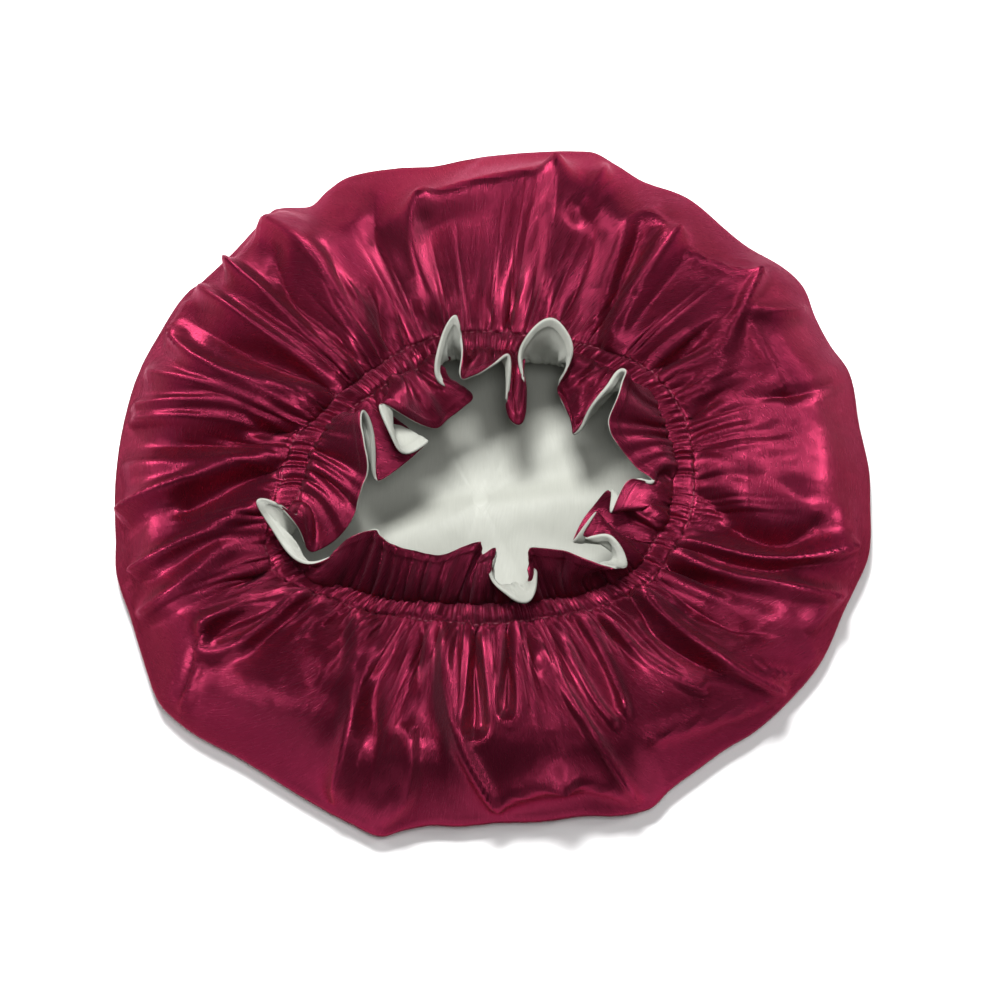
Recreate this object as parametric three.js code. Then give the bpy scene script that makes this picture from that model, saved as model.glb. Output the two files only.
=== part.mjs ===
// A reversible satin sleep bonnet, laid on its crown with the mouth up.
// Two layers of satin are sewn edge to edge: burgundy outside and pale sage inside.
// Two rows of stitches round the mouth make a casing that holds the elastic,
// and the cloth past the casing stands up as a ruffle.
// Millimetres, +Z up, the flat of the crown at z = 0, the origin under the middle of the outline.
import {
  Box3,
  BufferGeometry,
  Float32BufferAttribute,
  Group,
  MathUtils,
  Mesh,
  MeshStandardMaterial,
  Vector3,
} from 'three';

// Sizes of the bonnet as it lies.
const laidWidth = 340;
const rimHeight = 17;
const mouthWidth = 172;
const casingHeight = 38;
const casingWidth = 11;
const ruffleWidth = 33;
const pillowRise = 8;
const foldDepth = 7;
const gatherDepth = 0.8;
const clothWall = 1.0;
const liningWall = 1.0;
const layerGap = 0.3;

// The elastic ribbon in the casing.
const elasticWidth = 8;
const elasticThickness = 1.2;
const elasticClearance = 0.3;

// The plan angle between two columns of the mesh is never more than this, in degrees.
const widestColumn = 5.1;

// The outline seen from above. Angles are in degrees from the right, counterclockwise about the mouth's centre.
// out: the rim's distance from that centre, as a share of half the laid width.
const rim = [
  { at: 2, out: 1.03 }, { at: 10, out: 1.02 }, { at: 18, out: 1.035 }, { at: 23, out: 1.015 },
  { at: 28, out: 1.015 }, { at: 33, out: 1.035 }, { at: 37, out: 1.025 }, { at: 43, out: 0.99 },
  { at: 48, out: 0.985 }, { at: 56, out: 0.995 }, { at: 63, out: 0.975 }, { at: 68, out: 0.99 },
  { at: 72, out: 1.005 }, { at: 75, out: 0.995 }, { at: 81, out: 0.97 }, { at: 87, out: 0.95 },
  { at: 93, out: 0.935 }, { at: 98, out: 0.925 }, { at: 104, out: 0.94 }, { at: 112, out: 0.955 },
  { at: 116, out: 0.94 }, { at: 120, out: 0.92 }, { at: 125, out: 0.965 }, { at: 129, out: 0.955 },
  { at: 135, out: 0.94 }, { at: 142, out: 0.945 }, { at: 145, out: 0.96 }, { at: 154, out: 0.96 },
  { at: 161, out: 0.965 }, { at: 175, out: 0.965 }, { at: 188, out: 0.97 }, { at: 194, out: 0.985 },
  { at: 201, out: 0.98 }, { at: 208, out: 0.995 }, { at: 215, out: 1.02 }, { at: 218, out: 1.015 },
  { at: 222, out: 1.0 }, { at: 229, out: 0.965 }, { at: 234, out: 0.955 }, { at: 240, out: 0.955 },
  { at: 250, out: 0.97 }, { at: 255, out: 0.98 }, { at: 258, out: 0.95 }, { at: 262, out: 0.925 },
  { at: 267, out: 0.92 }, { at: 273, out: 0.91 }, { at: 280, out: 0.92 }, { at: 287, out: 0.93 },
  { at: 292, out: 0.96 }, { at: 297, out: 0.975 }, { at: 301, out: 0.955 }, { at: 307, out: 0.95 },
  { at: 312, out: 0.955 }, { at: 317, out: 0.975 }, { at: 325, out: 0.995 }, { at: 332, out: 1.01 },
  { at: 340, out: 1.01 }, { at: 344, out: 1.02 }, { at: 350, out: 1.04 }, { at: 357, out: 1.03 },
];

// The middle line of the casing round the mouth.
// out: its distance from the mouth's centre, as a share of half the mouth's width.
const casing = [
  { at: 6, out: 1.055 }, { at: 17, out: 1.05 }, { at: 27, out: 1.03 }, { at: 37, out: 0.98 },
  { at: 49, out: 0.885 }, { at: 62, out: 0.79 }, { at: 78, out: 0.745 }, { at: 92, out: 0.74 },
  { at: 106, out: 0.745 }, { at: 120, out: 0.745 }, { at: 134, out: 0.76 }, { at: 148, out: 0.805 },
  { at: 160, out: 0.865 }, { at: 170, out: 0.93 }, { at: 180, out: 0.96 }, { at: 187, out: 1.01 },
  { at: 194, out: 1.07 }, { at: 200, out: 1.11 }, { at: 207, out: 1.11 }, { at: 213, out: 1.05 },
  { at: 221, out: 0.955 }, { at: 233, out: 0.865 }, { at: 246, out: 0.775 }, { at: 262, out: 0.735 },
  { at: 278, out: 0.735 }, { at: 292, out: 0.765 }, { at: 306, out: 0.84 }, { at: 318, out: 0.925 },
  { at: 328, out: 0.99 }, { at: 338, out: 1.02 }, { at: 348, out: 1.045 }, { at: 357, out: 1.05 },
];

// The sack below its widest line, from the crown outwards.
// out: share of the rim's distance, up: share of the rim's height.
const underside = [
  { out: 0.62, up: 0 },
  { out: 0.86, up: 0.27 },
  { out: 0.965, up: 0.6 },
  { out: 1, up: 1 },
];

// The sack above its widest line. toward: share of the way in to the casing,
// up: share of the climb from rim to casing, puff: share of the pillow's rise,
// fold: share of the depth of the folds.
const topside = [
  { toward: 0.05, up: 0.42, puff: 0.1, fold: 0.25 },
  { toward: 0.26, up: 0.8, puff: 0.6, fold: 0.75 },
  { toward: 0.52, up: 0.95, puff: 1, fold: 1 },
  { toward: 0.78, up: 1, puff: 0.75, fold: 0.9 },
  { toward: 0.94, up: 1, puff: 0.2, fold: 0.5 },
];

// Ridges of the big folds that run from the casing to the rim.
// at: the angle at the casing, tip: the angle at the rim, wide: half width in degrees,
// high: share of the depth of the folds, a minus sign for a valley.
const folds = [
  { at: 11, tip: 7, wide: 8, high: 0.7 }, { at: 18, tip: 13, wide: 5, high: -0.8 },
  { at: 23, tip: 18, wide: 5, high: 0.8 }, { at: 29, tip: 40, wide: 6, high: 0.8 },
  { at: 34, tip: 46, wide: 5, high: -0.8 }, { at: 40, tip: 53, wide: 6, high: 0.9 },
  { at: 48, tip: 63, wide: 6, high: -1.2 }, { at: 58, tip: 72, wide: 6, high: 1 },
  { at: 68, tip: 79, wide: 5, high: -0.7 }, { at: 80, tip: 84, wide: 7, high: 0.9 },
  { at: 92, tip: 88, wide: 6, high: -0.3 }, { at: 106, tip: 98, wide: 7, high: 0.8 },
  { at: 113, tip: 105, wide: 5, high: -0.8 }, { at: 118, tip: 112, wide: 5, high: 0.7 },
  { at: 125, tip: 119, wide: 5, high: -1 }, { at: 131, tip: 126, wide: 5, high: 0.9 },
  { at: 139, tip: 133, wide: 5, high: -0.7 }, { at: 147, tip: 141, wide: 5, high: 0.8 },
  { at: 153, tip: 147, wide: 4, high: -0.7 }, { at: 159, tip: 154, wide: 4, high: 0.8 },
  { at: 163, tip: 160, wide: 4, high: -0.7 }, { at: 168, tip: 165, wide: 4, high: 0.7 },
  { at: 173, tip: 169, wide: 4, high: -0.7 }, { at: 178, tip: 174, wide: 4, high: 0.7 },
  { at: 184, tip: 178, wide: 4, high: -0.6 }, { at: 190, tip: 183, wide: 5, high: 0.7 },
  { at: 196, tip: 188, wide: 4, high: -0.8 }, { at: 201, tip: 193, wide: 5, high: 0.7 },
  { at: 207, tip: 199, wide: 4, high: -0.9 }, { at: 212, tip: 207, wide: 5, high: 0.9 },
  { at: 219, tip: 217, wide: 6, high: 0.7 }, { at: 227, tip: 232, wide: 6, high: -0.7 },
  { at: 235, tip: 245, wide: 5, high: 0.8 }, { at: 243, tip: 250, wide: 4, high: -0.8 },
  { at: 252, tip: 255, wide: 5, high: 0.9 }, { at: 260, tip: 262, wide: 4, high: -0.8 },
  { at: 268, tip: 268, wide: 5, high: 0.7 }, { at: 277, tip: 274, wide: 5, high: 0.6 },
  { at: 286, tip: 281, wide: 5, high: -0.9 }, { at: 296, tip: 290, wide: 5, high: 0.7 },
  { at: 302, tip: 293, wide: 4, high: -0.6 }, { at: 309, tip: 297, wide: 5, high: 0.9 },
  { at: 315, tip: 307, wide: 4, high: -0.8 }, { at: 321, tip: 325, wide: 5, high: 0.8 },
  { at: 326, tip: 329, wide: 4, high: -0.8 }, { at: 331, tip: 333, wide: 4, high: 0.8 },
  { at: 336, tip: 338, wide: 4, high: -0.7 }, { at: 341, tip: 343, wide: 4, high: 0.7 },
  { at: 346, tip: 348, wide: 4, high: -0.8 }, { at: 352, tip: 354, wide: 5, high: 0.7 },
];

// Where the ruffle's edge lies, seen from the place on the casing that it rises from.
// at: the angle of that place, in: toward the mouth's centre, along: counterclockwise,
// up: above the casing. The last three are shares of the ruffle's width.
const ruffle = [
  { at: -2, in: 0.3, along: -0.05, up: 0.35 },
  { at: 6, in: 0.5, along: -0.15, up: 0.4 },
  { at: 14, in: 0.75, along: 0.1, up: 0.6 },
  { at: 24, in: 0.25, along: 0.35, up: 0.8 },
  { at: 31, in: 0.65, along: -0.05, up: 0.6 },
  { at: 36, in: 0.95, along: -0.3, up: 0.15 },
  { at: 41, in: 0.8, along: -0.15, up: -0.05 },
  { at: 46, in: 0.5, along: 0.05, up: 0.2 },
  { at: 51, in: 0.25, along: 0.05, up: 0.45 },
  { at: 56, in: -0.1, along: 0, up: 0.65 },
  { at: 61, in: -0.3, along: 0.1, up: 0.8 },
  { at: 64, in: -0.15, along: 0.15, up: 0.75 },
  { at: 67.5, in: 0.1, along: 0.1, up: 0.55 },
  { at: 71, in: 0.4, along: 0, up: 0.35 },
  { at: 74.5, in: 0.8, along: -0.15, up: 0.05 },
  { at: 78, in: 0.65, along: -0.05, up: 0.2 },
  { at: 82, in: 0.2, along: -0.15, up: 0.55 },
  { at: 86, in: 0.4, along: 0, up: 0.5 },
  { at: 92, in: 0.45, along: 0.2, up: 0.4 },
  { at: 96, in: 0.05, along: 0.05, up: 0.6 },
  { at: 100, in: -0.3, along: -0.05, up: 0.8 },
  { at: 104, in: -0.05, along: 0.05, up: 0.65 },
  { at: 108, in: 0.25, along: 0, up: 0.5 },
  { at: 112, in: 0.5, along: -0.1, up: 0.3 },
  { at: 116, in: 0.7, along: -0.4, up: 0.1 },
  { at: 121, in: 0.8, along: -0.1, up: -0.05 },
  { at: 126, in: 0.85, along: 0.1, up: 0.05 },
  { at: 128, in: 0.6, along: 0.2, up: 0.35 },
  { at: 132, in: 0.3, along: 0.25, up: 0.6 },
  { at: 136.5, in: 0.6, along: 0.35, up: 0.45 },
  { at: 140, in: 0.75, along: 0.3, up: 0.35 },
  { at: 144, in: 0.85, along: 0.3, up: 0.2 },
  { at: 148, in: 0.85, along: 0.35, up: 0.1 },
  { at: 152, in: 0.75, along: 0.35, up: 0.1 },
  { at: 155, in: 0.55, along: 0.25, up: 0.25 },
  { at: 158, in: 0.35, along: -0.1, up: 0.6 },
  { at: 162, in: 0.45, along: 0, up: 0.7 },
  { at: 168, in: 0.75, along: 0.3, up: 0.55 },
  { at: 176, in: 0.7, along: 0.55, up: 0.35 },
  { at: 184, in: 0.45, along: 0.75, up: 0.2 },
  { at: 189, in: 0.15, along: 0.45, up: 0.25 },
  { at: 193, in: 0.05, along: 0.15, up: 0.5 },
  { at: 197, in: 0, along: -0.15, up: 0.65 },
  { at: 200, in: -0.25, along: -0.5, up: 0.7 },
  { at: 204, in: -0.15, along: -0.35, up: 0.5 },
  { at: 209, in: -0.1, along: 0, up: 0.4 },
  { at: 213, in: 0.2, along: -0.05, up: 0.5 },
  { at: 217, in: 0.4, along: -0.1, up: 0.6 },
  { at: 222, in: 0.6, along: -0.2, up: 0.75 },
  { at: 228, in: 0.5, along: -0.2, up: 0.7 },
  { at: 236, in: 0.5, along: -0.1, up: 0.6 },
  { at: 247, in: 0.45, along: 0, up: 0.55 },
  { at: 259, in: 0.65, along: 0.2, up: 0.75 },
  { at: 267, in: 0.45, along: 0.1, up: 0.55 },
  { at: 274, in: 0.5, along: 0.15, up: 0.75 },
  { at: 280, in: 0.2, along: 0, up: 0.55 },
  { at: 286, in: 0, along: 0, up: 0.5 },
  { at: 292, in: 0.25, along: 0.05, up: 0.6 },
  { at: 298, in: 0.5, along: 0, up: 0.75 },
  { at: 305, in: 0.35, along: 0.2, up: 0.65 },
  { at: 312, in: 0, along: 0.3, up: 0.5 },
  { at: 319, in: -0.1, along: 0.2, up: 0.5 },
  { at: 324, in: 0.3, along: 0.15, up: 0.6 },
  { at: 328.5, in: 0.6, along: 0, up: 0.45 },
  { at: 333, in: 0.75, along: 0.15, up: 0.55 },
  { at: 337, in: 0.9, along: -0.3, up: 0.2 },
  { at: 341, in: 0.9, along: 0, up: 0.1 },
  { at: 345, in: 0.75, along: 0.1, up: 0.3 },
  { at: 349, in: 0.65, along: -0.1, up: 0.45 },
  { at: 353, in: 0.5, along: 0, up: 0.5 },
];

// Steps across the ruffle from the casing to its edge, and how much it arches between them.
const ruffleSteps = [0.34, 0.68, 1];
const ruffleArch = 0.32;
const archLean = 0.5;

// An offset point lies no further out at a fold than this share of the wall allows.
const mitreLimit = 0.95;

// A smooth closed curve through the rows of a table, read at a plan angle in degrees.
function readTable(rows, field, angle) {
  const count = rows.length;
  const turned = MathUtils.euclideanModulo(angle - rows[0].at, 360) + rows[0].at;
  let before = count - 1;
  while (rows[before].at > turned) before -= 1;
  const row = (index) => rows[MathUtils.euclideanModulo(index, count)];
  const angleOf = (index) => row(index).at + 360 * Math.floor(index / count);
  const span = angleOf(before + 1) - angleOf(before);
  const slope = (index) =>
    (row(index + 1)[field] - row(index - 1)[field]) / (angleOf(index + 1) - angleOf(index - 1));
  const share = (turned - angleOf(before)) / span;
  const square = share * share;
  const cube = square * share;
  return (
    (2 * cube - 3 * square + 1) * row(before)[field] +
    (cube - 2 * square + share) * span * slope(before) +
    (3 * square - 2 * cube) * row(before + 1)[field] +
    (cube - square) * span * slope(before + 1)
  );
}

// Columns stand at each row of the ruffle's table, with more between rows that are far apart.
function columnAngles() {
  const angles = [];
  ruffle.forEach((row, index) => {
    const next = index + 1 < ruffle.length ? ruffle[index + 1].at : ruffle[0].at + 360;
    const parts = Math.ceil((next - row.at) / widestColumn);
    for (let part = 0; part < parts; part += 1) {
      angles.push(row.at + ((next - row.at) * part) / parts);
    }
  });
  return angles;
}

// The level direction away from the mouth's centre at a plan angle.
function outward(angle) {
  const turn = MathUtils.degToRad(angle);
  return new Vector3(Math.cos(turn), Math.sin(turn), 0);
}

// The height of the folds where a column crosses the top, from 0 at the rim to 1 at the casing.
function foldHeight(angle, toward) {
  let height = 0;
  for (const fold of folds) {
    const middle = MathUtils.lerp(fold.tip, fold.at, toward);
    const aside = MathUtils.euclideanModulo(angle - middle + 180, 360) - 180;
    height += fold.high * Math.exp(-((aside / fold.wide) ** 2) * 2);
  }
  return height;
}

// The length that a share of 1 in the rim's table stands for, so that the bonnet lies exactly as wide as named.
const wallOut = layerGap / 2 + clothWall;
const reachAlong = rim.map((row) => row.out * Math.cos(MathUtils.degToRad(row.at)));
const rimUnit = (laidWidth - 2 * wallOut) / (Math.max(...reachAlong) - Math.min(...reachAlong));

// One column of the cloth's middle surface, from the crown to the ruffle's edge.
function column(angle, index) {
  const away = outward(angle);
  const across = new Vector3(-away.y, away.x, 0);
  const rimOut = readTable(rim, 'out', angle) * rimUnit;
  const casingOut = (readTable(casing, 'out', angle) * mouthWidth) / 2;
  const points = [];
  const place = (distance, height) => points.push(away.clone().multiplyScalar(distance).setZ(height));
  for (const row of underside) {
    place(row.out * rimOut, MathUtils.lerp(wallOut, rimHeight, row.up));
  }
  const casingEdge = casingOut + casingWidth / 2;
  for (const row of topside) {
    const climb = MathUtils.lerp(rimHeight, casingHeight, row.up);
    const bump = row.puff * pillowRise + row.fold * foldDepth * foldHeight(angle, row.toward);
    place(MathUtils.lerp(rimOut, casingEdge, row.toward), climb + bump);
  }
  const gather = (index % 2 === 0 ? 1 : -1) * gatherDepth;
  place(casingEdge, casingHeight + gather);
  place(casingOut - casingWidth / 2, casingHeight + gather);
  const root = points[points.length - 1];
  const reach = away.clone().multiplyScalar(-readTable(ruffle, 'in', angle));
  reach.addScaledVector(across, readTable(ruffle, 'along', angle));
  reach.z = readTable(ruffle, 'up', angle);
  const chord = Math.min(reach.length(), 1);
  const lean = away.clone().multiplyScalar(-archLean).setZ(1);
  lean.addScaledVector(reach, -lean.dot(reach) / reach.lengthSq());
  const arch = ruffleArch * Math.sqrt(1 - chord * chord);
  for (const step of ruffleSteps) {
    const point = root.clone().addScaledVector(reach, step * ruffleWidth);
    point.addScaledVector(lean, arch * 4 * step * (1 - step) * ruffleWidth);
    points.push(point);
  }
  return points;
}

const columns = columnAngles().map(column);
const rowCount = columns[0].length;
const crownRow = 0;
const outerStitchRow = underside.length + topside.length;
const innerStitchRow = outerStitchRow + 1;
const crownMiddle = new Vector3(0, 0, wallOut);

// The cloth's outward direction at each point, lengthened at folds so that the wall keeps its thickness.
function surfaceNormals() {
  const faces = columns.map(() => []);
  const count = columns.length;
  const normalOf = (a, b, c) => b.clone().sub(a).cross(c.clone().sub(a)).normalize();
  columns.forEach((points, index) => {
    const next = columns[(index + 1) % count];
    for (let row = 0; row + 1 < rowCount; row += 1) {
      faces[index].push([
        normalOf(points[row], next[row], next[row + 1]),
        normalOf(points[row], next[row + 1], points[row + 1]),
      ]);
    }
  });
  return columns.map((points, index) => {
    const before = (index + count - 1) % count;
    return points.map((point, row) => {
      if (row === crownRow) return new Vector3(0, 0, -1);
      const around = [...faces[index][row - 1], ...faces[before][row - 1]];
      if (row + 1 < rowCount) around.push(...faces[index][row], ...faces[before][row]);
      const sum = new Vector3();
      around.forEach((normal) => sum.add(normal));
      sum.normalize();
      const spread = around.reduce((total, normal) => total + normal.dot(sum), 0) / around.length;
      return sum.divideScalar(Math.max(spread, mitreLimit));
    });
  });
}

const normals = surfaceNormals();

// How far each layer's inner face lies from the middle surface: the layers part in the casing round the elastic.
function innerOffset(row) {
  const parted = elasticThickness / 2 + elasticClearance;
  return row === outerStitchRow || row === innerStitchRow ? parted : layerGap / 2;
}

// A closed layer of cloth between two offsets of the middle surface. A side of 1 is the outer cloth, -1 the lining.
function layerGeometry(side, wall) {
  const count = columns.length;
  const positions = [];
  const triangles = [];
  const faceOffsets = [0, wall];
  const point = (face, index, row) => {
    const offset = side * (innerOffset(row) + faceOffsets[face]);
    return columns[index][row].clone().addScaledVector(normals[index][row], offset);
  };
  const number = (face, index, row) => (face * count + (index % count)) * rowCount + row;
  for (let face = 0; face < 2; face += 1) {
    for (let index = 0; index < count; index += 1) {
      for (let row = 0; row < rowCount; row += 1) {
        positions.push(...point(face, index, row).toArray());
      }
    }
  }
  const middles = [0, 1].map((face) => {
    const offset = side * (layerGap / 2 + faceOffsets[face]);
    positions.push(crownMiddle.x, crownMiddle.y, crownMiddle.z - offset);
    return positions.length / 3 - 1;
  });
  const add = (a, b, c, flipped) => triangles.push(...(flipped ? [a, c, b] : [a, b, c]));
  for (let face = 0; face < 2; face += 1) {
    const flipped = (face === 1) !== (side === 1);
    for (let index = 0; index < count; index += 1) {
      add(middles[face], number(face, index + 1, 0), number(face, index, 0), flipped);
      for (let row = 0; row + 1 < rowCount; row += 1) {
        const near = number(face, index, row);
        const far = number(face, index + 1, row + 1);
        add(near, number(face, index + 1, row), far, flipped);
        add(near, far, number(face, index, row + 1), flipped);
      }
    }
  }
  const last = rowCount - 1;
  for (let index = 0; index < count; index += 1) {
    const flipped = side === -1;
    add(number(0, index, last), number(1, index, last), number(1, index + 1, last), flipped);
    add(number(0, index, last), number(1, index + 1, last), number(0, index + 1, last), flipped);
  }
  return indexedGeometry(positions, triangles);
}

// The flat elastic ribbon, centred between the two rows of stitches.
function elasticGeometry() {
  const count = columns.length;
  const margin = (1 - elasticWidth / casingWidth) / 2;
  const corners = [
    { across: margin, offset: 0.5 },
    { across: 1 - margin, offset: 0.5 },
    { across: 1 - margin, offset: -0.5 },
    { across: margin, offset: -0.5 },
  ];
  const positions = [];
  const triangles = [];
  columns.forEach((points, index) => {
    for (const corner of corners) {
      const normal = normals[index][outerStitchRow].clone().lerp(normals[index][innerStitchRow], corner.across);
      const point = points[outerStitchRow].clone().lerp(points[innerStitchRow], corner.across);
      positions.push(...point.addScaledVector(normal, corner.offset * elasticThickness).toArray());
    }
  });
  for (let index = 0; index < count; index += 1) {
    for (let side = 0; side < corners.length; side += 1) {
      const near = index * corners.length;
      const far = ((index + 1) % count) * corners.length;
      const next = (side + 1) % corners.length;
      const backward = side === 2;
      if (backward) {
        triangles.push(near + side, far + side, near + next);
        triangles.push(near + next, far + side, far + next);
      } else {
        triangles.push(near + side, far + side, far + next);
        triangles.push(near + side, far + next, near + next);
      }
    }
  }
  return indexedGeometry(positions, triangles);
}

function indexedGeometry(positions, triangles) {
  const geometry = new BufferGeometry();
  geometry.setAttribute('position', new Float32BufferAttribute(positions, 3));
  geometry.setIndex(triangles);
  geometry.computeVertexNormals();
  return geometry;
}

function named(name, geometry, material) {
  const mesh = new Mesh(geometry, new MeshStandardMaterial(material));
  mesh.name = name;
  return mesh;
}

const bonnet = new Group();
bonnet.add(
  named('outer_cloth', layerGeometry(1, clothWall), { color: 0x8c2440, roughness: 0.35, metalness: 0 }),
  named('lining', layerGeometry(-1, liningWall), { color: 0xc4ccbc, roughness: 0.4, metalness: 0 }),
  named('elastic_band', elasticGeometry(), { color: 0xf0eeea, roughness: 0.8, metalness: 0 }),
);

// The origin lies under the middle of the outline.
const outline = new Box3().setFromObject(bonnet);
const middle = outline.getCenter(new Vector3());
bonnet.position.set(-middle.x, -middle.y, 0);

export default bonnet;
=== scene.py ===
"""A reversible satin sleep bonnet lying on its crown with the mouth up. Metres, +Z up."""
import math

import bpy
import numpy as np
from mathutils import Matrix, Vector


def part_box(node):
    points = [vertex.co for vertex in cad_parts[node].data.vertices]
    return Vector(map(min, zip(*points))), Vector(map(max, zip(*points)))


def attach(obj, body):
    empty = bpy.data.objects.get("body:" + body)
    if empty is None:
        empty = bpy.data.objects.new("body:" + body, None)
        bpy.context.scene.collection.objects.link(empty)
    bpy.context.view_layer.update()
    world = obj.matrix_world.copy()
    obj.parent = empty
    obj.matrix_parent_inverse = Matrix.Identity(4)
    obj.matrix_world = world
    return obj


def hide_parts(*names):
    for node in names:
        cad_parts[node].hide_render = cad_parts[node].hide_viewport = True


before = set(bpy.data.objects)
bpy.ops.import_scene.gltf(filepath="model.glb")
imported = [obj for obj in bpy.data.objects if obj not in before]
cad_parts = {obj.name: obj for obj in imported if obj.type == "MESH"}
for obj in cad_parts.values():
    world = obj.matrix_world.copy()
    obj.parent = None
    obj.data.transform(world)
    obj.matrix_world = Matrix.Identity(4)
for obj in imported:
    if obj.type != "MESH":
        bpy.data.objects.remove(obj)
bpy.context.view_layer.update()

# The camera looks down at the bonnet from in front, 72 degrees above the floor, through a long lens.
camera_elevation = math.radians(72)
camera_distance = 1.8
width_in_view = 0.4515
aim = Vector((0.0038, -0.0045, 0.016))
camera_data = bpy.data.cameras.new("camera")
camera_data.sensor_width = 36
camera_data.lens = 36 * camera_distance / width_in_view
camera = bpy.data.objects.new("camera", camera_data)
away = Vector((0, -math.cos(camera_elevation), math.sin(camera_elevation)))
camera.location = aim + away * camera_distance
camera.rotation_euler = (-away).to_track_quat("-Z", "Y").to_euler()
bpy.context.scene.collection.objects.link(camera)
bpy.context.scene.camera = camera

# The cut of cloth that both layers share. Two equal rounds of satin are laid together, sewn round the edge
# and turned, and two rows of stitches form the casing. Elastic draws the casing in, so the sack stands up in
# radial folds over its crown, and the cloth past the casing stands up as the ruffle.
cloth_low, cloth_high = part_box("outer_cloth")
elastic_low, elastic_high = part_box("elastic_band")
laid_width = cloth_high.x - cloth_low.x
casing_height = (elastic_low.z + elastic_high.z) / 2
rim_height = 0.013
rim_shift = 0.0045
fold_gain = 1.9
pocket_gain = 1.4
mouth_width = 0.172
casing_width = 0.011
ruffle_width = 0.033
pillow_rise = 0.008
half_gap = 0.0004

# The outline from above: the angle in degrees and the rim's distance as a share of half the laid width.
rim = [
    (2, 1.03), (10, 1.02), (18, 1.035), (23, 1.015), (28, 1.015), (33, 1.035), (37, 1.025), (43, 0.99),
    (48, 0.985), (56, 0.995), (63, 0.975), (68, 0.99), (72, 1.005), (75, 0.995), (81, 0.97), (87, 0.95),
    (93, 0.935), (98, 0.925), (104, 0.94), (112, 0.955), (116, 0.94), (120, 0.92), (125, 0.965), (129, 0.955),
    (135, 0.94), (142, 0.945), (145, 0.96), (154, 0.96), (161, 0.965), (175, 0.965), (188, 0.97), (194, 0.985),
    (201, 0.98), (208, 0.995), (215, 1.02), (218, 1.015), (222, 1.0), (229, 0.965), (234, 0.955), (240, 0.955),
    (250, 0.97), (255, 0.98), (258, 0.95), (262, 0.925), (267, 0.92), (273, 0.91), (280, 0.92), (287, 0.93),
    (292, 0.96), (297, 0.975), (301, 0.955), (307, 0.95), (312, 0.955), (317, 0.975), (325, 0.995), (332, 1.01),
    (340, 1.01), (344, 1.02), (350, 1.04), (357, 1.03),
]

# The casing's middle line: the angle and its distance as a share of half the mouth's width.
casing = [
    (6, 1.055), (17, 1.05), (27, 1.03), (37, 0.98), (49, 0.885), (62, 0.79), (78, 0.745), (92, 0.74),
    (106, 0.745), (120, 0.745), (134, 0.76), (148, 0.805), (160, 0.865), (170, 0.93), (180, 0.96), (187, 1.01),
    (194, 1.07), (200, 1.11), (207, 1.11), (213, 1.05), (221, 0.955), (233, 0.865), (246, 0.775), (262, 0.735),
    (278, 0.735), (292, 0.765), (306, 0.84), (318, 0.925), (328, 0.99), (338, 1.02), (348, 1.045), (357, 1.05),
]

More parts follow.
